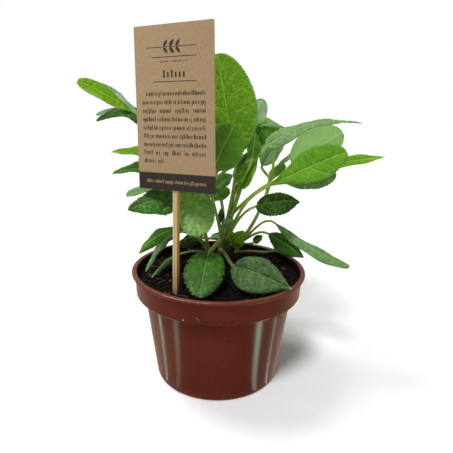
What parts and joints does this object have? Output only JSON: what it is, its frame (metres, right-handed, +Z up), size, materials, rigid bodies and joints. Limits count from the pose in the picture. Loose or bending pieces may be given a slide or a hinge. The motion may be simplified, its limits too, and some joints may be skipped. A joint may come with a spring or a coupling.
{
  "type": "potted salvia",
  "caption": "Young sage plant with crenulate leaves on arching stalks in a tapered plastic nursery pot, with a blank-style kraft card on a square bamboo stick",
  "frame": {"origin": "centre of the pot's base, on the surface it stands on (mount base_rest)", "axes": "+Z up along the pot's axis; -Y is the front, where the card faces; +X is to the right seen from the front"},
  "size_m": [0.1923, 0.1414, 0.2137],
  "materials": {
    "pot_plastic": "terracotta-brown moulded polypropylene, semi-gloss",
    "potting_soil": "dark crumbly potting soil, matte",
    "kraft_card": "uncoated kraft card, matte",
    "bamboo": "planed bamboo, unvarnished",
    "sage_leaf": "velvety pebbled leaf, matte, paler below"
  },
  "bodies": {
    "root": {"pot": "pot_plastic", "soil": "potting_soil", "tag_card": "kraft_card", "tag_stick": "bamboo", "shoot_main": "sage_leaf", "shoot_right": "sage_leaf", "shoot_left": "sage_leaf", "shoot_back": "sage_leaf"}
  },
  "joints": []
}
